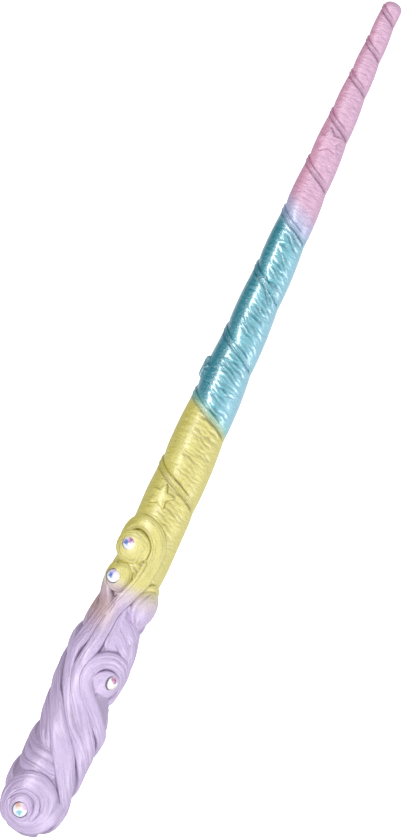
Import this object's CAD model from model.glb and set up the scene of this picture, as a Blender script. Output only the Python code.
"""Magic wand: pearl-painted cast wand with a spiral wrap, twisted curled strands, stars and stones.

Shapes are worked out in the wand's own millimetres: along (from the butt), across (towards +Y)
and above the centre line. place() lays them in the frame, in metres. Angles round the wand
start at the top and turn towards +Y.
"""
from math import atan2, cos, pi, radians, sin

import bpy
import numpy as np
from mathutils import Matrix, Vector


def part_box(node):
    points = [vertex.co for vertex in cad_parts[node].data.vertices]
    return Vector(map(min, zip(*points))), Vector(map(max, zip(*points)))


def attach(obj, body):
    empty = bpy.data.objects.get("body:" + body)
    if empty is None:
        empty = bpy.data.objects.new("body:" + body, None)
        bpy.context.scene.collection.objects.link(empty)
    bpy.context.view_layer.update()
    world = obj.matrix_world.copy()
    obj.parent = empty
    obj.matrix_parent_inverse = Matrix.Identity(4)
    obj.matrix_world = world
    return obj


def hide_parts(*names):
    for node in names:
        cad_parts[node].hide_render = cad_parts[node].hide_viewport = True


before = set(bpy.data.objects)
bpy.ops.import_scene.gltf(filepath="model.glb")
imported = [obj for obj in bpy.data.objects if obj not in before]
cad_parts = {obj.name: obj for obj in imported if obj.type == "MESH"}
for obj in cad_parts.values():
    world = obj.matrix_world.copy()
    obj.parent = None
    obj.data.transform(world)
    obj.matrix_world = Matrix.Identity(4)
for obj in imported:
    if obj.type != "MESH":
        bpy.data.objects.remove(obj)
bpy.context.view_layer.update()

MM = 0.001
UV_SCALE = 0.1               # texture units for each millimetre

# The wand's own frame, as in the CAD model
WAND_LENGTH = 310.0
BUTT_HEIGHT = 13.3
TIP_HEIGHT = 3.9
LEAN = atan2(BUTT_HEIGHT - TIP_HEIGHT, WAND_LENGTH)

# Outline of the grip: (along, reach to +Y, reach to -Y)
GRIP_OUTLINE = [
    (0.0, 0.3, 1.2), (0.8, 4.4, 4.6), (2.5, 7.4, 6.6), (5.0, 9.6, 9.0), (10.0, 11.6, 11.2),
    (20.0, 12.5, 12.1), (28.5, 11.2, 12.0), (36.0, 11.2, 12.6), (42.0, 10.8, 13.2), (47.0, 11.2, 12.4),
    (53.0, 12.0, 11.0), (60.0, 11.9, 11.6), (68.0, 12.5, 11.5), (76.0, 10.9, 10.9), (84.0, 9.6, 10.0),
    (92.0, 9.2, 9.6), (99.0, 9.2, 9.3), (112.0, 9.3, 9.1), (125.0, 9.1, 8.8),
]
GRIP_DEPTH = 0.96            # the grip's thickness as a share of its width
CORE_INSET = 1.5             # the core's surface, under the strands' outline
CORE_END = 99.0
CORE_DOME = 8.0              # where the core's butt has rounded out

STRAND_THICKNESS = 0.8       # as a share of the strand's half width
SECTION_POWER = 0.62         # of a strand's section: 1 is round, less is squarer
END_SINK = 1.2               # how far a strand's end tucks under, as a share of its thickness
END_THICKNESS = 0.35         # of a strand's very end, as a share of its thickness
FINE_LINE_LENGTH = 14.0
BUTTON_RINGS = 26
BUTTON_SIDES = 72

# Radius of the shaft under its wrap: (along, radius)
SHAFT_TAPER = [
    (84.0, 6.9), (91.0, 8.1), (98.0, 8.85), (112.0, 9.0), (125.0, 8.8), (140.0, 8.55), (155.0, 8.2),
    (180.0, 7.3), (205.0, 6.6), (230.0, 5.9), (247.0, 5.4), (265.0, 4.75), (282.0, 4.05), (297.0, 3.5),
    (306.0, 3.25),
]
MEAN_RADIUS = 8.0            # the shaft's, for its textures and the swell of its wrap
SHAFT_START = 84.0
TIP_START = 307.5            # where the tip begins to round off
SHAFT_ROWS = 920
TIP_ROWS = 14
SHAFT_SIDES = 98

# Where the wrap's seam crosses the top line, one turn after another
SEAM_CROSSINGS = (
    81.0, 105.0, 129.5, 156.0, 179.8, 204.0, 226.0, 245.0, 263.5, 279.2, 291.9, 304.5, 316.5,
)
WRAP_SWELL = 0.55            # how far the wrap stands up between its seams
WRAP_INSET = 0.2             # and how far it lies in at them
STEP_BEHIND = -0.32          # the wrap just after its hem
STEP_AHEAD = 0.14            # and just before the next one
# Grooves beside the hem: depth, distance from the hem, half width
GROOVE_AHEAD = (0.50, 0.25, 0.34)
GROOVE_BEHIND = (0.20, 0.20, 0.50)
LINE_GAP = 0.2               # dark lines in those grooves: distance from the hem
LINE_WIDTH = 0.4
LINE_BEHIND = 0.4            # strength of the line behind, as a share of the one ahead

HEM_START = 112.0            # where the hem comes out from under the curls
HEM_END = 308.6
HEM_ROWS = 1500
HEM_LEAST = 0.3              # how much of its relief the hem keeps where the seam is moulded away
HEM_SUNK = 0.6               # how far it sinks there
# The hem's section: offset towards the tip in half widths, height, and how dark it looks
HEM_PROFILE = np.array([
    (-1.06, -0.30, 1.0), (-1.00, 0.10, 0.8), (-0.86, 0.34, 0.1), (-0.66, 0.30, 0.0),
    (-0.45, 0.12, 0.2), (-0.20, 0.00, 0.4), (0.05, 0.12, 0.1), (0.30, 0.12, 0.1),
    (0.55, 0.00, 0.4), (0.74, 0.20, 0.1), (0.90, 0.30, 0.0), (1.00, 0.10, 0.1),
    (1.06, -0.40, 0.4), (0.90, -1.10, 1.0), (0.00, -1.10, 1.0), (-0.90, -1.10, 1.0),
])

# Depths by place along: of the creases, and of the fine folds between them
CREASE_DEPTH = ((100, 150, 160, 215, 235, 300), (0.52, 0.52, 0.84, 0.84, 0.15, 0.08))
FOLD_DEPTH = ((100, 155, 160, 225, 235, 300), (0.10, 0.10, 0.12, 0.12, 0.11, 0.08))
CREASE_SEED = 7
CREASE_WIDTH = 0.40          # from the middle of a crease to its ridge, and to its dent
CREASE_MARGIN = (1.8, 2.4)   # kept free after the hem and before the next one
CREASE_GAP = (0.9, 2.0)      # from one crease to the next
CREASE_MIDDLE = (-0.15, 0.15)            # mean and spread across the face, in shaft radii
CREASE_LENGTH = (1.8 / 7, 3.6 / 7)       # from its middle to where it fades, in shaft radii
CREASE_SLANT = (0.05, 0.22)              # mean and spread
CREASE_WAVE = (0.10, 0.35)               # how far it wanders
CREASE_BENDS = (1.0, 2.0)                # how fast it wanders, in radians for each millimetre
CREASE_SIZE = (0.4, 1.1)                 # share of the full depth
FOLD_SPACING = 1.5
FOLD_SLANT = 2.8
FOLD_LENGTH = 5.0
FOLD_SEED = 91
DENT_SHADE = 3               # how fast a dent darkens with its depth

STAR_WAIST = 0.48            # inner corners of a star, as a share of its radius
STAR_PROUD = 1.25
STAR_RINGS = 22
STAR_SIDES = 120


# ---- small tools

def ease(low, high, x):
    """0 below low, 1 above high, smooth between."""
    t = np.clip((x - low) / (high - low), 0, 1)
    return t * t * (3 - 2 * t)


def bump(x, width):
    """A smooth hill of height 1 at x = 0."""
    return np.exp(-((x / width) ** 2))


def spline(stops, where):
    """A smooth curve through rows of stops: the first column is the distance, the others are returned."""
    stops = np.asarray(stops, float)
    t, values = stops[:, 0], stops[:, 1:]
    where = np.clip(where, t[0], t[-1])
    i = np.clip(np.searchsorted(t, where, side="right") - 1, 0, len(t) - 2)
    slopes = np.gradient(values, t, axis=0)
    span = t[i + 1] - t[i]
    u = ((where - t[i]) / span)[..., None]
    span = span[..., None]
    a, b = values[i], values[i + 1]
    ma, mb = slopes[i] * span, slopes[i + 1] * span
    return (
        (2 * u**3 - 3 * u**2 + 1) * a + (u**3 - 2 * u**2 + u) * ma
        + (3 * u**2 - 2 * u**3) * b + (u**3 - u**2) * mb
    )


def value_noise(x, y, seed):
    """Smooth noise from -1 to 1 on the plane, from a seeded lattice."""
    size = 256
    lattice = np.random.default_rng(seed).uniform(-1, 1, (size, size))
    xi, yi = np.floor(x).astype(int), np.floor(y).astype(int)
    fx, fy = x - xi, y - yi
    fx, fy = fx * fx * (3 - 2 * fx), fy * fy * (3 - 2 * fy)

    def corner(a, b):
        return lattice[(xi + a) % size, (yi + b) % size]

    low = corner(0, 0) * (1 - fx) + corner(1, 0) * fx
    high = corner(0, 1) * (1 - fx) + corner(1, 1) * fx
    return low * (1 - fy) + high * fy


def furrows(x, y, seed):
    """Side-by-side dents up to 1 deep, one for each unit of x, which wander and fade along y."""
    wobble = 1.1 * value_noise(x * 0.4 + 3, y, seed)
    fade = np.clip(0.45 + 0.9 * value_noise(x * 0.6 + 7, y * 0.8 + 2, seed + 5), 0, 1)
    return -((0.5 + 0.5 * np.cos(2 * pi * (x + wobble))) ** 3) * fade


def place(points):
    """Wand millimetres to the frame's metres, with nothing under the table."""
    points = np.asarray(points, float)
    along, across, above = points[..., 0], points[..., 1], points[..., 2]
    x = -WAND_LENGTH / 2 + along * cos(LEAN) + above * sin(LEAN)
    z = BUTT_HEIGHT - along * sin(LEAN) + above * cos(LEAN)
    return np.stack([x, across, np.maximum(z, 0.0)], -1) * MM


def unit(v):
    """The same direction, 1 long."""
    return v / np.maximum(np.linalg.norm(v, axis=-1, keepdims=True), 1e-9)


def signed_angle(angle):
    """The same angle between -pi and pi."""
    return (angle + pi) % (2 * pi) - pi


# ---- the wand's surface

def outline(along):
    """Reach of the grip's outline to +Y and to -Y."""
    reach = spline(GRIP_OUTLINE, along)
    return np.maximum(reach[..., 0], 0.1), np.maximum(reach[..., 1], 0.1)


def taper(along):
    """The shaft's radius under its wrap."""
    return spline(SHAFT_TAPER, along)[..., 0]


def grip_point(along, angle, lift=0.0):
    """A place on the grip's outline surface, raised by lift. The angle is in radians."""
    up, down = outline(along)
    half, middle = (up + down) / 2, (up - down) / 2
    return np.stack(
        [
            along + 0 * angle,
            middle + (half + lift) * np.sin(angle),
            (half * GRIP_DEPTH + lift) * np.cos(angle),
        ],
        -1,
    )


def grip_normal(along, angle):
    """The way out of the grip's surface."""
    step = 0.05
    lengthwise = grip_point(along + step, angle) - grip_point(along - step, angle)
    sideways = grip_point(along, angle + 0.01) - grip_point(along, angle - 0.01)
    return unit(np.cross(lengthwise, sideways))


def seam_turn(along):
    """How far the wrap has turned, in radians: whole turns where its seam crosses the top."""
    return spline([(at, 2 * pi * i) for i, at in enumerate(SEAM_CROSSINGS)], along)[..., 0]


def seam_pitch(along):
    """The length of one turn of the wrap."""
    step = 0.25
    return 2 * pi * 2 * step / (seam_turn(along + step) - seam_turn(along - step))


def hem_half(along):
    """Half the width of the wrap's folded hem, which narrows with the shaft."""
    return 0.45 + 0.055 * taper(along)


def seam_strength(angle):
    """The seam is sharp on the face and the upper edge, and nearly moulded away below the lower edge."""
    signed = signed_angle(angle)
    low_side = ease(radians(-50), radians(-80), signed) * ease(radians(-170), radians(-140), signed)
    return 1 - 0.95 * low_side


# ---- meshes

def add_object(name, data):
    """An object in the scene."""
    obj = bpy.data.objects.new(name, data)
    bpy.context.scene.collection.objects.link(obj)
    return obj


def make_object(name, points, faces, uv, groove):
    """A smooth mesh object in the frame, from wand millimetres, with a uv and a groove for each point."""
    mesh = bpy.data.meshes.new(name)
    mesh.from_pydata(place(points).tolist(), [], faces)
    mesh.polygons.foreach_set("use_smooth", [True] * len(mesh.polygons))
    layer = mesh.uv_layers.new(name="UVMap")
    corners = np.array([loop.vertex_index for loop in mesh.loops])
    layer.data.foreach_set("uv", uv[corners].ravel())
    attribute = mesh.attributes.new("groove", "FLOAT", "POINT")
    attribute.data.foreach_set("value", groove.astype(np.float32))
    mesh.update()
    return add_object(name, mesh)


def joined(name, shells):
    """One object from several closed shells."""
    points, uvs, grooves = [], [], []
    faces = []
    start = 0
    for shell_points, shell_faces, shell_uv, shell_groove in shells:
        points.append(shell_points)
        uvs.append(shell_uv)
        grooves.append(shell_groove)
        faces.extend(tuple(i + start for i in face) for face in shell_faces)
        start += len(shell_points)
    return make_object(name, np.concatenate(points), faces, np.concatenate(uvs), np.concatenate(grooves))


def tube_faces(rows, ring):
    """Quads of a tube of rows of ring points, with its two ends closed by one face each."""
    faces = []
    for row in range(rows - 1):
        a, b = row * ring, (row + 1) * ring
        for c in range(ring):
            d = (c + 1) % ring
            faces.append((a + c, a + d, b + d, b + c))
    last = (rows - 1) * ring
    faces.append(tuple(range(ring - 1, -1, -1)))
    faces.append(tuple(range(last, last + ring)))
    return faces


def finish_piece(obj, node, material):
    """Rides, stands for its CAD node and takes its finish."""
    obj.data.materials.append(material)
    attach(obj, "root")
    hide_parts(node)


# ---- strands

# A stop is a place on a strand's crest, the way out there, and the strand's half width, as one row

def wound(along, angle, half, lift=0.0):
    """A stop at an angle in degrees round the grip."""
    where = np.float64(along)
    turn = np.float64(radians(angle))
    return [*grip_point(where, turn, lift), *grip_normal(where, turn), half]


def seen(along, across, half, lift=0.0):
    """A stop on the face, by how far across the wand it lies."""
    up, down = outline(np.float64(along))
    share = (across - (up - down) / 2) / ((up + down) / 2)
    return wound(along, np.degrees(np.arcsin(np.clip(share, -0.999, 0.999))), half, lift)


def squared(v):
    """One coordinate of a circle pushed out towards a square."""
    return np.sign(v) * np.abs(v) ** SECTION_POWER


def strand(stops, seed, spacing=0.32, ring=64, lines=0.22, line_width=1.10):
    """Points, faces, uv and groove of one strand along the stops; lines is the depth of its fine lines."""
    rows = np.array(stops)
    chord = np.concatenate([[0], np.cumsum(np.linalg.norm(np.diff(rows[:, :3], axis=0), axis=1))])
    count = max(12, int(chord[-1] / spacing))
    t = np.linspace(0, chord[-1], count)
    path = spline(np.column_stack([chord, rows]), t)
    crest, out, half = path[:, :3], unit(path[:, 3:6]), path[:, 6]
    thick = half * STRAND_THICKNESS
    tangent = unit(np.gradient(crest, t, axis=0))
    out = unit(out - tangent * np.sum(out * tangent, 1, keepdims=True))
    side = np.cross(out, tangent)
    # both ends are drawn in to a rounded tip
    near_end = np.minimum(t, chord[-1] - t)
    tip = np.sqrt(np.clip(1 - (1 - np.clip(near_end / half, 0, 1)) ** 2, 0.0025, 1))
    half, body = half * tip, thick * (END_THICKNESS + (1 - END_THICKNESS) * tip)
    theta = np.linspace(0, 2 * pi, ring, endpoint=False)
    wide, high = squared(np.cos(theta)), squared(np.sin(theta))
    lateral = np.cos(theta) * half[:, None]
    distance = np.broadcast_to(t[:, None], lateral.shape)
    # long fine lines run with the strand, on its outer side only
    outer = np.clip(np.sin(theta), 0, 1) ** 0.5 * tip[:, None]
    wrinkle = furrows(lateral / line_width + 40, distance / FINE_LINE_LENGTH + seed, seed)
    wrinkle = wrinkle + 0.35 * value_noise(lateral / 0.8 + 9, distance / 8.0 + seed, seed + 1)
    drop = (high - 1) * body[:, None] - ((1 - tip) * thick * END_SINK)[:, None]
    drop = drop + lines * wrinkle * outer
    points = (
        crest[:, None, :]
        + side[:, None, :] * (wide * half[:, None])[..., None]
        + out[:, None, :] * drop[..., None]
    )
    uv = np.stack([distance, lateral], -1).reshape(-1, 2) * UV_SCALE
    crevice = ease(0.80, 0.99, np.abs(np.cos(theta)))
    groove = np.clip(0.8 * np.clip(-wrinkle, 0, 1) * outer + crevice, 0, 1)
    return points.reshape(-1, 3), tube_faces(count, ring), uv, groove.ravel()


def button(centre, out, reach_along, reach_across, rise, depth, lines, seed):
    """Points, faces, uv and groove of a low domed button about a crest point."""
    out = unit(np.asarray(out, float))
    ex = unit(np.array([1.0, 0, 0]) - out * out[0])
    ey = np.cross(ex, out)
    dome = np.linspace(0.04, 1, BUTTON_RINGS)
    rho = np.concatenate([dome, [1.0, 0.86]])
    drop = np.concatenate([rise * dome**2.6, [rise + depth * 0.4, rise + depth]])
    theta = np.linspace(0, 2 * pi, BUTTON_SIDES, endpoint=False)
    rr, aa = np.meshgrid(rho, theta, indexing="ij")
    ripples = furrows(rr * reach_along / 1.3 + 9, 1.6 * np.cos(aa + seed) + seed, seed)
    swirl = ripples * ease(0.5, 0.7, rr) * ease(1.0, 0.9, rr)
    points = (
        np.asarray(centre)
        + ex * (rr * np.cos(aa) * reach_along)[..., None]
        + ey * (rr * np.sin(aa) * reach_across)[..., None]
        + out * (lines * swirl - drop[:, None])[..., None]
    )
    # both halves of the ring share their texture, so it meets itself without a break
    uv = np.stack([np.abs(aa - pi), rr], -1).reshape(-1, 2) * reach_along * UV_SCALE
    return points.reshape(-1, 3), tube_faces(*rr.shape), uv, np.clip(-swirl, 0, 1).ravel()


# ---- curls

# Curled ends, as in the CAD model: crest, tilt across, nod towards the butt, outer radius, rim depth
CURLS = {
    "butt": ((10.6, 2.0, 10.9), 6.0, 8.0, 9.9, 4.0),
    "middle": ((61.0, -6.6, 9.2), -36.0, 0.0, 7.4, 3.2),
    "small": ((94.2, 5.6, 9.0), 14.0, 0.0, 4.4, 1.8),
    "top": ((107.3, 4.6, 9.9), 14.0, 0.0, 8.3, 2.6),
    "side": ((87.6, -9.6, 6.5), -56.0, 0.0, 6.0, 2.6),
}


def facing(tilt, nod):
    """The way out of the wand, tilted across and nodded towards the butt, in degrees."""
    tilt, nod = radians(tilt), radians(nod)
    return np.array([-sin(nod), sin(tilt) * cos(nod), cos(tilt) * cos(nod)])


def on_curl(name, along, across, half, lift=0.0):
    """A stop on a curl's domed face, by how far along and across the wand it lies."""
    crest, tilt, nod, outer, rim = CURLS[name]
    radius = (outer**2 + rim**2) / (2 * rim)
    centre = np.array(crest) - radius * facing(tilt, nod)
    flat = np.array([along, across]) - centre[:2]
    above = np.sqrt(max(radius**2 - flat @ flat, 0.04 * radius**2))
    out = unit(np.array([*flat, above]))
    return [*(centre + out * (radius + lift)), *out, half]


def curl_button(name, along, across, reach_along, reach_across, lift, rise, seed, depth=2.5, lines=0.06):
    """The domed eye of a curl."""
    stop = on_curl(name, along, across, 1.0, lift)
    return button(stop[:3], stop[3:6], reach_along, reach_across, rise, depth, lines, seed)


def butt_curl_shells():
    """The coil round the butt, its eye, and the turn that closes the butt's underside."""
    def on_butt(along, across, half, lift=0.0):
        return on_curl("butt", along, across, half, lift)

    coil = [
        seen(25, -10.6, 2.6, -1), on_butt(19, -8.8, 3.6, -0.1), on_butt(10, -7, 4.4),
        on_butt(4.8, -3.4, 3.6), on_butt(3.1, 2, 2.7), on_butt(5, 7, 2.7), on_butt(9.4, 9.8, 2.8),
        on_butt(15, 9.4, 3.3), seen(18.6, 6, 3.8, 0.2), seen(19.2, 1, 3.9, 0.3),
        seen(16.6, -3.4, 3.5, 0.2), on_butt(11.2, -4.8, 2.7, 0.1), on_butt(6.6, -3, 2.2, -0.2),
        on_butt(4.8, 0.6, 1.8, -0.7),
    ]
    lip = [
        on_butt(8, 9.3, 0.7, 0.2), on_butt(11.2, 9, 0.9, 0.5), on_butt(14.2, 6.8, 1, 0.7),
        on_butt(15.3, 3.2, 1, 0.8), on_butt(13.8, -0.3, 1, 0.8), on_butt(10.4, -1.6, 1, 0.6),
        on_butt(6.4, -0.9, 0.8, 0.2),
    ]
    under = [
        wound(16, 62, 2.6, -0.6), wound(9, 80, 3, -0.1), wound(5.5, 105, 3.2), wound(4.2, 140, 3.4),
        wound(4, 180, 3.4), wound(4.6, 220, 3.4), wound(7, 252, 3.2), wound(12, 280, 3, -0.2),
        wound(19, 292, 2.6, -1),
    ]
    return [
        strand(coil, seed=11),
        strand(lip, seed=12, line_width=0.8),
        strand(under, seed=13),
        curl_button("butt", 9.2, 3.9, 5.1, 5.1, lift=0.1, rise=1.5, seed=14),
    ]


def butt_band_shells():
    """The broad band behind the butt's coil and the strands that carry on round the back from it."""
    band = [
        seen(26.5, -6.5, 3, -1.6), seen(26, -2, 5.2, -0.8), seen(26.8, 3.5, 6.2, -0.2),
        wound(27.5, 56, 6.2), wound(29.5, 84, 5.2), wound(34.5, 116, 4.6), wound(41, 154, 4.2),
        wound(47.5, 190, 4), wound(55, 226, 4.2), wound(63, 260, 4, -0.1), wound(70, 284, 3.6, -0.2),
        wound(76, 302, 3, -0.3), wound(82, 318, 2.4, -0.8),
    ]
    edge = [
        seen(31, 2, 1.8, -1.4), seen(35, 6.2, 2.8, -0.5), wound(40, 58, 3.2, -0.2), wound(46, 88, 3.4),
        wound(52, 130, 3.8), wound(59, 172, 4.2), wound(66, 210, 4), wound(73, 244, 3.4, -0.3),
        wound(79, 272, 2.8, -0.8),
    ]
    back = [
        wound(13, 62, 2.4, -1.2), wound(17, 84, 3.2, -0.3), wound(22, 108, 3.6), wound(28, 144, 3.8),
        wound(34, 180, 3.8), wound(40, 216, 3.6), wound(46, 250, 3.2, -0.4), wound(52, 280, 2.6, -1.2),
    ]
    return [
        strand(band, ring=112, spacing=0.45, lines=0.34, line_width=1.6, seed=21),
        strand(edge, lines=0.26, line_width=1.5, seed=22),
        strand(back, seed=23),
    ]


def side_curl_shells():
    """The strand that crosses the face near the butt and goes round the back to the side curl."""
    path = [
        wound(6, -118, 2.4, -0.6), wound(12, -92, 2.8, -0.4), seen(20, -9.3, 3.3, -0.2),
        seen(25, -6.6, 3.8, 0.1), seen(30, -3.4, 4, 0.3), seen(35, 0.3, 3.9, 0.4),
        seen(40, 3.9, 3.6, 0.3), seen(45, 7, 3.3, 0.2), seen(50, 10, 2.9), wound(56, 80, 3),
        wound(62, 106, 3.6), wound(68, 138, 4), wound(74, 178, 4), wound(79, 220, 3.8),
        wound(83, 254, 3.6, -0.2), wound(88, 284, 3, -0.5),
    ]
    ring = [
        seen(88.5, -2.6, 1.2, -0.4), seen(92.8, -4.6, 1.5, 0.1), seen(94.6, -7.2, 1.5, 0.5),
        wound(93.8, -70, 1.2, 0.4), wound(91.5, -82, 0.8, 0.1),
    ]
    return [
        strand(path, seed=31),
        strand(ring, seed=32, line_width=0.8),
        curl_button("side", 86.8, -9.0, 6.8, 5.6, lift=0.0, rise=2.2, depth=3.0, lines=0.03, seed=33),
    ]


def small_curl_shells():
    """The strand along the upper edge of the face, ending in the small curl."""
    path = [
        wound(5, -212, 2.4, -0.6), wound(9, -190, 3, -0.2), wound(14, -160, 3.4), wound(20, -124, 3.3),
        wound(26, -88, 3), seen(32, -9.4, 2.6), seen(38, -4.8, 2.5), seen(42, -1.2, 2.4),
        seen(46, 2, 2.3, -0.1), seen(50, 4.7, 2.1, -0.1), seen(55, 7.4, 2, -0.1), seen(60, 9.1, 2.4),
        seen(66, 9.6, 2.7, 0.2), seen(72, 8.5, 3.2), seen(79, 7, 3.3, 0.1), seen(84, 6.5, 3.1, 0.2),
        wound(88, 58, 2.5, 0.8), wound(91.4, 64, 2.1, 1.4), wound(95.2, 65, 1.7, 1.5),
        wound(98.4, 56, 1, 1),
    ]
    lip = [
        on_curl("small", 93.6, 9.6, 0.4, 0.7), on_curl("small", 90.4, 8.2, 0.6, 0.9),
        on_curl("small", 88, 5.4, 0.6, 0.9), seen(85.6, 3.4, 0.6, 0.5), seen(80, 4.3, 0.5, 0.2),
    ]
    return [
        strand(path, seed=41),
        strand(lip, seed=42, line_width=0.8),
        curl_button("small", 93.7, 5.0, 5.2, 4.6, lift=0.1, rise=1.6, seed=43),
    ]


def top_curl_shells():
    """The strand down the middle of the face, ending in the large curl at the head of the grip."""
    path = [
        wound(5, -244, 2.4, -0.6), wound(10, -212, 3.2, -0.1), wound(16, -176, 3.6), wound(22, -140, 3.5),
        wound(28, -104, 3.2), seen(35, -11, 2.8), seen(40, -7.5, 2.7), seen(45, -3.6, 2.6),
        seen(50, 0.4, 2.5), seen(55, 3.7, 2.5, 0.1), seen(60, 5, 2.7, 0.2), seen(65, 4.5, 2.6, 0.2),
        seen(70, 3.8, 2.6, 0.1), seen(76, 3.3, 2.7), seen(84, 2, 2.5, 0.2), seen(90, -0.9, 2.6, 0.6),
        seen(96.5, -2.9, 2.8, 0.8), seen(103, -3.6, 3, 0.9), seen(109, -2.3, 3.1, 1.1),
        seen(113, 1.3, 3, 1.5), seen(114, 5.4, 2.8, 1.6), wound(112.2, 56, 2.6, 1.7),
        wound(108, 72, 2, 1.9), wound(103.5, 76, 1.4, 1.2),
    ]
    lip = [
        seen(70, 6.4, 0.5), seen(77, 5.6, 0.7, 0.4), seen(84, 3.9, 0.7, 0.6), seen(90, 1.4, 0.7, 0.9),
        seen(96.5, -0.3, 0.7, 1.1), seen(102, -0.9, 0.5, 1.2),
    ]
    return [
        strand(path, seed=51),
        strand(lip, seed=52, line_width=0.7),
        curl_button("top", 104.6, 5.5, 6.0, 6.0, lift=0.6, rise=1.5, lines=0.03, seed=53),
    ]


def middle_curl_shells():
    """The strand that turns back on itself in the middle of the face, round its own eye."""
    path = [
        wound(12, -256, 2.6, -0.8), wound(17, -222, 3.4, -0.1), wound(23, -186, 3.6),
        wound(29, -150, 3.6), wound(35, -116, 3.4), wound(40.5, -80, 3), seen(46, -8.8, 2.9),
        seen(50, -4.8, 2.9, 0.1), seen(54, -0.6, 2.7, 0.3), seen(58, 1.5, 2.7, 0.5),
        seen(62, 1.3, 2.8, 0.5), seen(65.6, -1.2, 3, 0.4), seen(67, -4.8, 3.1, 0.3),
        seen(66.2, -8.4, 3, 0.1), seen(62.6, -11, 2.6), wound(57.5, -84, 2.2, -0.3),
        wound(53, -70, 1.8, -0.7),
    ]
    return [
        strand(path, seed=61),
        curl_button("middle", 57.8, -5.9, 5.4, 5.6, lift=0.0, rise=1.4, seed=63),
    ]


def filler_shells():
    """Short strands that close the valley on the face and, at the back, the head of the grip."""
    valley = [
        seen(67, -6, 3.5, -1.8), seen(71, -5, 5.2, -1.1), seen(76, -4.7, 5.2, -0.95),
        seen(82, -4.1, 4.2, -0.9), seen(89, -3.2, 3, -1.2),
    ]
    fan = [
        [
            seen(88, -1.5, 1.8, -0.8), seen(85.2, -4.6, 2.4, -0.1), seen(82.8, -8, 2.5, -0.1),
            wound(80.5, -72, 1.8, -0.4),
        ],
        [
            seen(82, 0.4, 1.6, -1), seen(79.8, -3.8, 2.4, -0.35), seen(76.6, -8, 2.8, -0.3),
            wound(73.5, -74, 2, -0.4),
        ],
        [
            seen(77.5, 1, 1.6, -1.1), seen(75.4, -3.2, 2.5, -0.45), seen(72.2, -7.2, 2.7, -0.4),
            wound(69, -71, 2, -0.6),
        ],
    ]
    lower = [
        wound(63, 72, 1.8, -0.9), wound(70, 96, 3.2, -0.1), wound(76, 130, 4), wound(82, 170, 4.2),
        wound(87.5, 208, 4), wound(92, 244, 3.2), wound(96, 272, 2.4, -0.6),
    ]
    upper = [
        wound(74, 66, 2, -0.8), wound(80, 86, 3.2), wound(87, 122, 4), wound(93, 160, 4, 0.2),
        wound(98, 198, 3.2, 0.1), wound(102, 228, 2, -0.4),
    ]
    head = [
        wound(86, 66, 2.2, -0.6), wound(93, 88, 3.2, 0.1), wound(100, 118, 3, 0.2),
        wound(105, 148, 2, -0.3),
    ]
    wrinkled = [strand(stops, lines=0.30, line_width=1.2, seed=81 + i) for i, stops in enumerate(fan)]
    plain = [strand(stops, seed=71 + i) for i, stops in enumerate([valley, lower, upper, head])]
    return wrinkled + plain


def core_shell():
    """The grip's core, just under its strands."""
    dome = np.linspace(0, 1, 12) ** 2 * CORE_DOME
    along = np.concatenate([dome, np.linspace(CORE_DOME + 0.6, CORE_END, 130)])
    angle = -np.linspace(0, 2 * pi, 96, endpoint=False)
    s, a = np.meshgrid(along, angle, indexing="ij")
    points = grip_point(s, a, -CORE_INSET * ease(0, CORE_DOME / 2, s))
    points[..., 0] += 0.8 * (1 - ease(0, CORE_DOME, s))
    points[..., 2] += 0.12 * value_noise(s / 2.0, a * 3 / pi * 4, 5) * np.cos(a)
    uv = np.stack([s, a * 10], -1).reshape(-1, 2) * UV_SCALE
    return points.reshape(-1, 3), tube_faces(*s.shape), uv, np.full(s.size, 0.7)


# ---- the shaft

def emerging(along, length):
    """0 where the shaft is still under the curls, 1 once it has been out of them for that length."""
    return ease(HEM_START, HEM_START + length, along)


def rounded_tip(along, least):
    """The share of the radius that is left as the tip rounds off."""
    past = np.clip((along - TIP_START) / (WAND_LENGTH - TIP_START), 0, 1)
    return np.sqrt(np.clip(1 - past**2, least, 1))


def round_point(along, angle, radius):
    """A place by its distance from the centre line and its angle round it."""
    return np.stack([along, radius * np.sin(angle), radius * np.cos(angle)], -1)


def in_wrap(along, angle):
    """Distance from the seam behind and from the seam ahead, and the share of the turn between them."""
    turns = (seam_turn(along) - angle) / (2 * pi)
    share = turns - np.floor(turns)
    pitch = seam_pitch(along)
    return share * pitch, (1 - share) * pitch, share


def shaft_radius(along, angle):
    """Radius of the wrapped shaft, without its creases."""
    behind, ahead, share = in_wrap(along, angle)
    sharp = seam_strength(angle) * emerging(along, 12)
    swell = WRAP_SWELL * np.sin(pi * np.clip(share, 0, 1)) ** 0.8 - WRAP_INSET
    step = STEP_BEHIND * (1 - ease(0.0, 0.22, share)) + STEP_AHEAD * ease(0.8, 1, share)
    relief = (swell + step * sharp) * np.sqrt(taper(along) / MEAN_RADIUS) * emerging(along, 16)
    radius = taper(along) + relief
    for distance, (depth, gap, width) in ((ahead, GROOVE_AHEAD), (behind, GROOVE_BEHIND)):
        radius = radius - depth * bump(distance - hem_half(along) - gap, width) * sharp
    return radius * rounded_tip(along, 0.0009)


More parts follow.
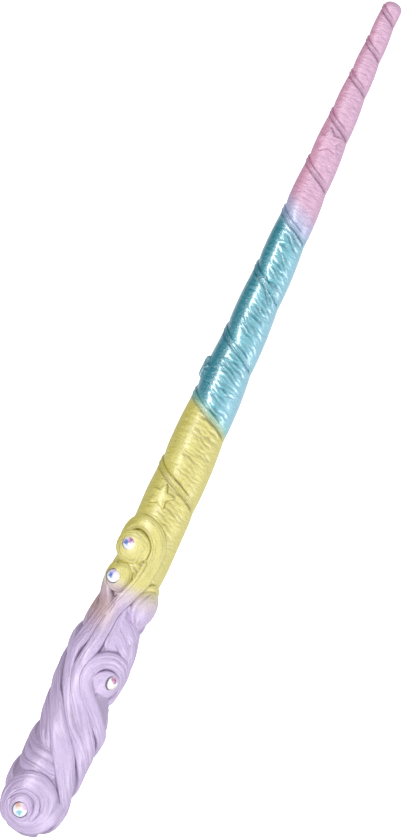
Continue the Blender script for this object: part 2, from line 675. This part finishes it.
def creases(along, angle):
    """Short creases in the soft wrap, a ridge and a dent each, in line with the seam, on the face."""
    behind, _, share = in_wrap(along, angle)
    random = np.random.default_rng(CREASE_SEED)
    arc = angle * taper(along)
    relief = np.zeros_like(along)
    turn = np.round((seam_turn(along) - angle) / (2 * pi) - share)
    for number in np.unique(turn):
        here = turn == number
        at, margin = CREASE_MARGIN
        reach = behind[here].max() - margin
        on_top = np.argmin(np.abs(angle[here]) + np.abs(behind[here] - reach / 2) * 0.05)
        middle = along[here][on_top]
        depth = np.interp(middle, *CREASE_DEPTH)
        while at < reach:
            centre = random.normal(*CREASE_MIDDLE) * taper(middle)
            length = random.uniform(*CREASE_LENGTH) * taper(middle)
            slant = random.normal(*CREASE_SLANT)
            offset = arc[here] - centre
            wave = random.uniform(*CREASE_WAVE)
            wave = wave * np.sin(random.uniform(*CREASE_BENDS) * offset + random.uniform(0, 2 * pi))
            x = (behind[here] - at - slant * offset + wave) / CREASE_WIDTH
            size = depth * random.uniform(*CREASE_SIZE) * bump(offset, length)
            relief[here] += size * x * np.exp(-(x**2) / 2)
            at += random.uniform(*CREASE_GAP)
    return relief * ease(radians(32), radians(12), angle)


def shaft_shell():
    """The cast shaft with its soft spiral wrap."""
    body = np.linspace(SHAFT_START, TIP_START, SHAFT_ROWS)
    end = TIP_START + (WAND_LENGTH - TIP_START) * np.sin(np.linspace(0.1, pi / 2, TIP_ROWS))
    angle = -np.linspace(0, 2 * pi, SHAFT_SIDES, endpoint=False)
    s, a = np.meshgrid(np.concatenate([body, end]), angle, indexing="ij")
    a = signed_angle(a)
    size = taper(s)
    on_face = 0.25 + 0.75 * bump(a + 0.35, 0.8)
    folds = furrows(s / FOLD_SPACING - a * size / FOLD_SLANT, a * size / FOLD_LENGTH, FOLD_SEED)
    dent = creases(s, a) + np.interp(s, *FOLD_DEPTH) * folds * on_face
    points = round_point(s, a, shaft_radius(s, a) + dent * ease(310, 304, s))
    behind, ahead, _ = in_wrap(s, a)
    near_ahead = bump(ahead - hem_half(s) - LINE_GAP, LINE_WIDTH)
    near_behind = bump(behind - hem_half(s) - LINE_GAP, LINE_WIDTH)
    line = np.maximum(near_ahead, LINE_BEHIND * near_behind) * seam_strength(a) * emerging(s, 10)
    groove = np.clip(line + np.clip(-dent, 0, 1) * DENT_SHADE, 0, 1)
    uv = np.stack([s, a * MEAN_RADIUS], -1).reshape(-1, 2) * UV_SCALE
    return points.reshape(-1, 3), tube_faces(*s.shape), uv, groove.ravel()


def hem_shell():
    """The folded hem of the wrap: a strip with two raised edges, wound from the grip to the tip."""
    # the rows run back from the tip, so that the faces look outwards
    steps = np.linspace(HEM_START, HEM_END, HEM_ROWS)[::-1]
    angle = seam_turn(steps)
    offset, height, shade = HEM_PROFILE.T
    ends = emerging(steps, 5) * ease(HEM_END, HEM_END - 1.5, steps)
    s = steps[:, None] + offset * hem_half(steps)[:, None]
    a = np.broadcast_to(angle[:, None], s.shape)
    sharp = (seam_strength(angle) * ends)[:, None]
    radius = taper(s) - 0.02 + height * (HEM_LEAST + (1 - HEM_LEAST) * sharp) - HEM_SUNK * (1 - sharp)
    points = round_point(s, a, radius * rounded_tip(s, 0.02))
    uv = np.stack([s, a * MEAN_RADIUS], -1).reshape(-1, 2) * UV_SCALE
    groove = np.broadcast_to(shade, s.shape)
    return points.reshape(-1, 3), tube_faces(*s.shape), uv, groove.ravel()


# Raised stars on the shaft: along, angle round it, radius, and turn towards -Y; angles in degrees
STARS = {
    "yellow_star": (124.4, 23.5, 5.3, 4.0),
    "blue_star": (170.5, 86.0, 4.9, 10.0),
    "pink_star": (257.2, 12.0, 5.5, -13.0),
}


def star_shell(along, angle, radius, turn):
    """A soft five-pointed star that follows the shaft's curve."""
    theta = np.linspace(0, 2 * pi, STAR_SIDES, endpoint=False)
    wedge = np.abs((theta * 5 / (2 * pi) + 0.5) % 1 - 0.5) * 2
    # straight edges from each tip to the inner corners, softened a little
    corner = pi / 5
    t = wedge * corner
    across_edge = STAR_WAIST * sin(corner)
    edge = across_edge / (across_edge * np.cos(t) + (1 - STAR_WAIST * cos(corner)) * np.sin(t))
    reach = radius * (edge - 0.10 * bump(wedge, 0.12))
    top = np.linspace(0.03, 1, STAR_RINGS)
    rho = np.concatenate([top, [1.04, 0.9, 0.03]])
    rise = np.concatenate([STAR_PROUD * (1 - top**10) ** 0.6, [-0.5, -0.9, -0.9]])
    rr, tt = np.meshgrid(rho, theta, indexing="ij")
    direction = tt + radians(turn)
    s = along + rr * reach * np.cos(direction)
    a = radians(angle) - rr * reach * np.sin(direction) / taper(np.float64(along))
    points = round_point(s, a, taper(s) + 0.2 * emerging(s, 16) + rise[:, None])
    uv = np.stack([rr * np.cos(tt), rr * np.sin(tt)], -1).reshape(-1, 2) * 0.5
    groove = np.broadcast_to(np.clip((rho - 0.9) * 10, 0, 1)[:, None], rr.shape)
    return points.reshape(-1, 3), tube_faces(*rr.shape), uv, groove.ravel()


# ---- stones

# Radius of each stone, and its tilt across from its curl's
STONES = {"butt": (2.6, 0.0), "middle": (2.5, -15.0), "small": (2.35, 0.0), "top": (2.35, 0.0)}
# The coating's colours: how far round from the wand's +X, and how far out, each patch lies, then its colour
BLUE_FIRE, VIOLET_FIRE = (0.02, 0.09, 0.42), (0.42, 0.02, 0.26)
STONE_FIRE = {
    "butt": [
        (320, 0.8, (0.85, 0.55, 0.72)), (40, 0.6, (0.88, 0.52, 0.34)), (200, 0.35, (0.18, 0.50, 0.52)),
    ],
    "middle": [
        (290, 0.8, (0.40, 0.80, 0.60)), (200, 0.6, (0.80, 0.76, 0.42)), (30, 0.5, (0.45, 0.05, 0.20)),
    ],
    "small": [(20, 0.75, (0.72, 0.58, 0.86)), (95, 0.25, BLUE_FIRE)],
    "top": [(200, 0.9, (0.70, 0.78, 0.97)), (340, 0.55, VIOLET_FIRE), (100, 0.40, BLUE_FIRE)],
}
CLEAR_FIRE = (0.93, 0.93, 0.97)
GIRDLE_COLOUR = (0.10, 0.09, 0.12)
FIRE_REACH = 0.60            # of a patch, as a share of the stone's radius
STONE_HEIGHT = 1.9
MAINS = 8                    # facets round a stone's table; its girdle has twice as many
CROWN_FACETS = 5 * MAINS
# Rings of corners from the table down: height and radius as shares, corners, and shift in corners
STONE_RINGS = [
    (1.00, 0.50, MAINS, 0.0), (0.66, 0.80, MAINS, 0.5), (0.30, 0.95, 2 * MAINS, 0.0),
    (0.10, 1.10, 2 * MAINS, 0.0), (0.00, 1.08, 2 * MAINS, 0.0),
]


def fire(name, x, y):
    """The coating's colour at a place on a stone, in shares of its radius."""
    colour = np.array(CLEAR_FIRE)
    for turn, out, patch in STONE_FIRE[name]:
        distance = np.hypot(x - out * cos(radians(turn)), y - out * sin(radians(turn)))
        near = 0.9 * ease(FIRE_REACH, 0.3 * FIRE_REACH, distance)
        colour = colour * (1 - near) + np.array(patch) * near
    return colour


def leaned(way):
    """A direction in the wand's own frame, as it points in the shared frame."""
    along, across, above = way
    return np.array([
        along * cos(LEAN) + above * sin(LEAN),
        across,
        -along * sin(LEAN) + above * cos(LEAN),
    ])


def stone(name, node):
    """A round faceted stone: table, two rows of crown facets, girdle and flat foil back."""
    low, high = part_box(node)
    centre = np.array((low + high) / 2) / MM
    radius, roll = STONES[name]
    _, tilt, nod, _, _ = CURLS[name]
    out = leaned(facing(tilt + roll, nod))
    ex = unit(np.array([1.0, 0, 0]) - out * out[0])
    ey = np.cross(out, ex)
    points, starts = [centre + out * STONE_HEIGHT / 2], []
    for height, share, count, shift in STONE_RINGS:
        starts.append(len(points))
        middle = centre + out * STONE_HEIGHT * (height - 0.5)
        for i in range(count):
            t = 2 * pi * (i + shift) / count
            points.append(middle + (ex * cos(t) + ey * sin(t)) * radius * share)
    a, b, c, d, e = starts
    faces = []
    for i in range(MAINS):
        j = (i + 1) % MAINS
        faces.append((0, a + i, a + j))
        faces.append((a + i, b + i, a + j))
        faces.append((a + j, b + i, c + 2 * j, b + j))
        faces.append((b + i, c + 2 * i, c + 2 * i + 1))
        faces.append((b + i, c + 2 * i + 1, c + 2 * j))
    for upper, lower in ((c, d), (d, e)):
        for i in range(2 * MAINS):
            j = (i + 1) % (2 * MAINS)
            faces.append((upper + i, lower + i, lower + j, upper + j))
    faces.append(tuple(range(e + 2 * MAINS - 1, e - 1, -1)))
    mesh = bpy.data.meshes.new(f"{node}_cut")
    mesh.from_pydata((np.array(points) * MM).tolist(), [], faces)
    attribute = mesh.color_attributes.new("facet", "FLOAT_COLOR", "CORNER")
    flat = (np.array(points) - centre) / radius
    for face in mesh.polygons:
        middle = flat[list(face.vertices)].mean(0)
        colour = fire(name, middle @ ex, middle @ ey) if face.index < CROWN_FACETS else GIRDLE_COLOUR
        for corner in face.loop_indices:
            attribute.data[corner].color = (*colour, 1)
    return add_object(f"{node}_cut", mesh)


# ---- finishes

def linear(red, green, blue):
    """A screen colour, 0 to 255, as the linear colour that the shader needs."""

    def channel(value):
        share = value / 255
        return share / 12.92 if share <= 0.04045 else ((share + 0.055) / 1.055) ** 2.4

    return (channel(red), channel(green), channel(blue), 1.0)


class Nodes:
    """A node tree with short ways to add and join its nodes."""

    def __init__(self, tree):
        self.tree = tree

    def add(self, kind, **settings):
        node = self.tree.nodes.new(kind)
        for key, value in settings.items():
            setattr(node, key, value)
        return node

    def join(self, output, target):
        self.tree.links.new(output, target)

    def feed(self, values, slots):
        """Gives each input a constant, or joins it to an output."""
        for value, slot in zip(values, slots):
            if isinstance(value, (int, float, tuple)):
                slot.default_value = value
            else:
                self.join(value, slot)

    def maths(self, operation, first, second):
        node = self.add("ShaderNodeMath", operation=operation)
        self.feed((first, second), node.inputs)
        return node.outputs[0]

    def span(self, value, low, high, at_low, at_high):
        """The value mapped smoothly from one range to another."""
        node = self.add("ShaderNodeMapRange", interpolation_type="SMOOTHSTEP")
        self.feed((value, low, high, at_low, at_high), node.inputs)
        return node.outputs["Result"]


class Paint(Nodes):
    """A node material round one shader."""

    def __init__(self, name):
        self.material = bpy.data.materials.new(name)
        self.material.use_nodes = True
        super().__init__(self.material.node_tree)
        self.shader = self.tree.nodes["Principled BSDF"]
        self.texture = self.add("ShaderNodeTexCoord")
        self.places = self.texture.outputs["Object"]

    def set(self, **values):
        for key, value in values.items():
            self.feed((value,), (self.shader.inputs[key.replace("_", " ")],))

    def mix(self, kind, factor, first, second):
        node = self.add("ShaderNodeMix", data_type="RGBA", blend_type=kind)
        self.feed((factor, first, second), (node.inputs[0], node.inputs[6], node.inputs[7]))
        return node.outputs[2]

    def noise(self, vector, scale, detail=3.0, stretch=(1, 1, 1)):
        mapping = self.add("ShaderNodeMapping")
        mapping.inputs["Scale"].default_value = stretch
        self.join(vector, mapping.inputs["Vector"])
        node = self.add("ShaderNodeTexNoise")
        node.inputs["Scale"].default_value = scale
        node.inputs["Detail"].default_value = detail
        self.join(mapping.outputs[0], node.inputs["Vector"])
        return node.outputs["Fac"]

    def ramp(self, factor, stops):
        node = self.add("ShaderNodeValToRGB")
        for i, (at, colour) in enumerate(stops):
            element = node.color_ramp.elements[i] if i < 2 else node.color_ramp.elements.new(at)
            element.position = at
            element.color = colour
        self.join(factor, node.inputs["Fac"])
        return node.outputs["Color"]

    def rough(self, pattern, spread, least):
        """Roughness that follows a pattern, up to that much over the least."""
        self.set(Roughness=self.maths("ADD", self.maths("MULTIPLY", pattern, spread), least))

    def bump(self, height, distance, strength):
        node = self.add("ShaderNodeBump")
        node.inputs["Distance"].default_value = distance
        node.inputs["Strength"].default_value = strength
        self.join(height, node.inputs["Height"])
        self.set(Normal=node.outputs[0])


WHITE = (1, 1, 1, 1)
PAINT_SLOPE = 0.53           # how far a change of colour runs along the wand for each unit across it
# The paint along the wand: (along, colour), sprayed from one colour into the next
LILAC = (197, 173, 211)
PEACH = (192, 152, 138)
BLUSH = (206, 186, 182)
YELLOW = (214, 202, 84)
BLUE = (0, 168, 182)
AQUA = (132, 200, 178)       # blue sprayed thinly over the yellow
SKY = (132, 206, 226)        # the lower side of the blue
TEAL = (0, 124, 144)         # and its upper side
MIST = (166, 178, 212)
PINK = (211, 160, 189)
ROSE = (228, 150, 178)       # the upper side of the pink
PAINT_ZONES = [
    (0, LILAC), (87, LILAC), (92.5, BLUSH), (97, YELLOW), (155.5, YELLOW), (158.5, AQUA),
    (161, BLUE), (224, BLUE), (230, MIST), (237, PINK), (310, PINK),
]
# The paint's gloss along the wand: (along, coat weight, roughness, coat roughness)
GLOSS_ZONES = [
    (0, 0.3, 0.44, 0.34), (96, 0.3, 0.42, 0.30), (156.5, 0.3, 0.42, 0.30), (161, 1.0, 0.26, 0.24),
    (224, 1.0, 0.26, 0.24), (236, 0.15, 0.44, 0.40), (310, 0.15, 0.44, 0.40),
]
PEACH_FROM, PEACH_TO = 74, 95            # only on the upper side of the grip
ROSE_FROM, ROSE_FULL = 232, 240
BLUE_FROM, BLUE_FULL = 157, 162
BLUE_FADES, BLUE_TO = 222, 230
GROOVE_DARKNESS = 0.7
GROOVE_TINT = (150, 140, 156)


def pearl(name, on_strands):
    """Pearlescent paint in the wand's colour zones, darker in the grooves, over fine lines in the cast."""
    paint = Paint(name)
    places = paint.places
    apart = paint.add("ShaderNodeSeparateXYZ")
    paint.join(places, apart.inputs[0])
    across = apart.outputs[1]
    # on the shaft the colours change along the wrap's slant; every change has a ragged sprayed edge
    drift = paint.maths("MULTIPLY", paint.noise(places, 90.0), 4 * MM)
    along = paint.maths("ADD", apart.outputs[0], WAND_LENGTH / 2 * MM)
    slant = paint.maths("MULTIPLY", across, paint.span(along, 110 * MM, 140 * MM, 0.0, PAINT_SLOPE))
    sprayed = paint.maths("ADD", paint.maths("SUBTRACT", along, slant), drift)
    share = paint.maths("DIVIDE", sprayed, WAND_LENGTH * MM)

    def rising(start, end):
        return paint.span(sprayed, start * MM, end * MM, 0.0, 1.0)

    def falling(start, end):
        return paint.span(sprayed, start * MM, end * MM, 1.0, 0.0)

    def side(start, end, most):
        return paint.span(across, start * MM, end * MM, 0.0, most)

    def gloss(column):
        stops = [(row[0] / WAND_LENGTH, (row[column], row[column], row[column], 1)) for row in GLOSS_ZONES]
        return paint.ramp(share, stops)

    colour = paint.ramp(share, [(at / WAND_LENGTH, linear(*rgb)) for at, rgb in PAINT_ZONES])
    peach_middle = (PEACH_FROM + PEACH_TO) / 2
    peach_part = paint.maths("MULTIPLY", rising(PEACH_FROM, peach_middle), falling(peach_middle, PEACH_TO))
    blue_part = paint.maths("MULTIPLY", rising(BLUE_FROM, BLUE_FULL), falling(BLUE_FADES, BLUE_TO))
    for part, reach, tint in [
        (peach_part, side(-1, 5, 0.8), PEACH),
        (rising(ROSE_FROM, ROSE_FULL), side(0, 4.5, 0.55), ROSE),
        (blue_part, side(-0.5, -6, 0.6), SKY),
        (blue_part, side(2, 4.5, 0.6), TEAL),
    ]:
        colour = paint.mix("MIX", paint.maths("MULTIPLY", part, reach), colour, linear(*tint))
    mottle = paint.noise(places, 260.0, detail=5.0)
    pale = paint.ramp(mottle, [(0.3, linear(232, 226, 236)), (0.7, WHITE)])
    colour = paint.mix("MULTIPLY", 0.35, colour, pale)

    groove = paint.add("ShaderNodeAttribute", attribute_name="groove").outputs["Fac"]
    darkness = paint.maths("MULTIPLY", groove, GROOVE_DARKNESS)
    shade = paint.mix("MULTIPLY", 1.0, colour, linear(*GROOVE_TINT))
    paint.set(Base_Color=paint.mix("MIX", darkness, colour, shade))
    bare = paint.maths("SUBTRACT", 1.0, darkness)
    paint.set(Coat_Weight=paint.maths("MULTIPLY", gloss(1), bare), Coat_Roughness=gloss(3))

    # the lines run along a strand, or round the shaft
    if on_strands:
        lines = paint.noise(paint.texture.outputs["UV"], 1.6, detail=5.0, stretch=(1.0, 8.0, 1.0))
    else:
        lines = paint.noise(places, 1.0, detail=5.0, stretch=(900.0, 250.0, 250.0))
    grain = paint.maths("MULTIPLY", paint.noise(places, 2000.0, detail=2.0), 0.35)
    paint.rough(lines, 0.16, gloss(2))
    paint.set(IOR=2.4, Metallic=0.1, Coat_IOR=2.3)
    paint.bump(paint.maths("ADD", lines, grain), 0.8 * MM, 0.9)
    return paint.material


def crystal():
    """Cut glass with a rainbow coating over its foil."""
    paint = Paint("crystal_coated")
    facet = paint.add("ShaderNodeVertexColor", layer_name="facet").outputs["Color"]
    cloud = paint.noise(paint.places, 700.0)
    tint = paint.ramp(cloud, [(0.35, linear(255, 232, 250)), (0.65, linear(226, 248, 255))])
    paint.set(Base_Color=paint.mix("MULTIPLY", 0.4, facet, tint))
    paint.rough(cloud, 0.12, 0.0)
    paint.set(IOR=1.5, Coat_Weight=0.3, Coat_Roughness=0.02)
    return paint.material


def mottled(name, dark, light, scale, **pattern):
    """A paint that wanders between two colours, and the pattern that it follows."""
    paint = Paint(name)
    wander = paint.noise(paint.places, scale, **pattern)
    paint.set(Base_Color=paint.ramp(wander, [(0.3, linear(*dark)), (0.7, linear(*light))]))
    return paint, wander


def clear_glue():
    """Clear glue with a few specks in it."""
    paint, specks = mottled("glue_clear", (150, 146, 160), (196, 192, 204), 2200.0)
    paint.rough(specks, 0.2, 0.1)
    paint.set(Transmission_Weight=0.4, IOR=1.48)
    paint.bump(specks, 0.05 * MM, 0.5)
    return paint.material


def brushed_steel():
    """Drawn steel rod, with fine marks along it."""
    along_rod = {"detail": 4.0, "stretch": (60.0, 2400.0, 2400.0)}
    paint, marks = mottled("steel_drawn", (120, 122, 126), (178, 180, 184), 1.0, **along_rod)
    paint.rough(marks, 0.25, 0.25)
    paint.set(Metallic=1.0)
    paint.bump(marks, 0.03 * MM, 0.5)
    return paint.material


def pale_card():
    """The pale surface that the wand lies on."""
    paint, _ = mottled("card_pale", (246, 246, 247), (250, 250, 250), 900.0)
    paint.set(Roughness=0.9, Specular_IOR_Level=0.1, Emission_Color=WHITE, Emission_Strength=FLOOR_GLOW)
    return paint.material


# ---- camera, light and floor

CAMERA_HEIGHT = 2.0
CAMERA_TURN = -65.76         # degrees about the vertical: the wand runs up and to the right in the picture
CAMERA_OVER = (-1.4 * MM, 1.65 * MM)
PICTURE_HEIGHT = 283.9 * MM
SENSOR = 36.0
FLOOR_GLOW = 0.7
BRIGHT_SIDE = (-0.34, -0.94, 0.0)    # towards the bright side of the studio
BRIGHT_SPAN = (-0.98, -0.45)         # how far round from it the light falls away
DIM_LEVEL = 0.04
BRIGHT_LEVEL = 0.84
STUDIO_COLOUR = (0.94, 0.97, 1.03, 1)
# Lamps, all aimed at the wand: where, size and power
LAMPS = {
    "top_light": ((-0.14, 0.84, 1.1), (1.3, 0.3), 11.5),
    "side_light": ((-0.72, -1.25, 0.6), (1.5, 0.8), 11),
}


def make_camera():
    """A long lens looking straight down on the wand."""
    data = bpy.data.cameras.new("camera")
    data.sensor_width = SENSOR
    data.lens = SENSOR * (CAMERA_HEIGHT - BUTT_HEIGHT * MM) / PICTURE_HEIGHT
    data.clip_end = 20
    camera = add_object("camera", data)
    camera.location = (*CAMERA_OVER, CAMERA_HEIGHT)
    camera.rotation_euler = (0, 0, radians(CAMERA_TURN))
    bpy.context.scene.camera = camera


def make_lamp(name, where, size, power):
    """A soft rectangular lamp that shines on the wand."""
    data = bpy.data.lights.new(name, "AREA")
    data.shape = "RECTANGLE"
    data.size, data.size_y = size
    data.energy = power
    lamp = add_object(name, data)
    lamp.location = where
    lamp.rotation_euler = (-Vector(where)).to_track_quat("-Z", "Y").to_euler()


def studio_world():
    """Even light from above and from the wand's lower side, which falls away behind its upper side."""
    world = bpy.data.worlds.new("studio")
    world.use_nodes = True
    studio = Nodes(world.node_tree)
    facing_light = studio.add("ShaderNodeVectorMath", operation="DOT_PRODUCT")
    heading = studio.add("ShaderNodeTexCoord").outputs["Generated"]
    studio.feed((heading, BRIGHT_SIDE), facing_light.inputs)
    level = studio.span(facing_light.outputs["Value"], *BRIGHT_SPAN, DIM_LEVEL, BRIGHT_LEVEL)
    # the camera sees it white all round
    seen_directly = studio.add("ShaderNodeLightPath").outputs["Is Camera Ray"]
    strength = studio.maths("MAXIMUM", level, seen_directly)
    studio.feed((STUDIO_COLOUR, strength), world.node_tree.nodes["Background"].inputs)
    return world


def make_studio():
    """A pale floor, a wide lamp on each side of the wand, and the studio round it."""
    bpy.ops.mesh.primitive_grid_add(x_subdivisions=8, y_subdivisions=8, size=6, location=(0, 0, 0))
    floor = bpy.context.object
    floor.name = "floor"
    floor.data.materials.append(pale_card())
    # the camera sees the pale floor, but only the lamps and the studio light the wand
    floor.visible_diffuse = False
    floor.visible_glossy = False
    for lamp_name, lamp_facts in LAMPS.items():
        make_lamp(lamp_name, *lamp_facts)
    bpy.context.scene.world = studio_world()
    bpy.context.scene.view_settings.view_transform = "Standard"


# ---- the wand

make_camera()
make_studio()

shaft_paint = pearl("pearl_wrap", on_strands=False)
strand_paint = pearl("pearl_strand", on_strands=True)
stone_finish = crystal()
glue_finish = clear_glue()

finish_piece(joined("shaft_wrapped", [shaft_shell()]), "shaft", shaft_paint)
finish_piece(joined("hem_folded", [hem_shell()]), "wrap_hem", shaft_paint)
finish_piece(joined("core_cast", [core_shell()]), "grip_core", strand_paint)

for star_name, star_facts in STARS.items():
    slot_name = "pearl_" + star_name.split("_")[0]
    star = joined(f"{star_name}_raised", [star_shell(*star_facts)])
    finish_piece(star, star_name, shaft_paint)

STRANDS = {
    "butt_curl": (butt_curl_shells, "pearl_lilac"),
    "butt_band": (butt_band_shells, "pearl_lilac"),
    "side_curl_strand": (side_curl_shells, "pearl_lilac"),
    "small_curl_strand": (small_curl_shells, "pearl_lilac"),
    "top_curl_strand": (top_curl_shells, "pearl_yellow"),
    "middle_curl_strand": (middle_curl_shells, "pearl_lilac"),
    "filler_strand": (filler_shells, "pearl_lilac"),
}
for node_name, (shells, slot_name) in STRANDS.items():
    finish_piece(joined(f"{node_name}_cast", shells()), node_name, strand_paint)

for curl_name in STONES:
    stone_node = f"{curl_name}_rhinestone"
    finish_piece(stone(curl_name, stone_node), stone_node, stone_finish)
    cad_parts[f"{curl_name}_stone_glue"].material_slots[0].material = glue_finish

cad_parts["reinforcing_rod"].material_slots[0].material = brushed_steel()
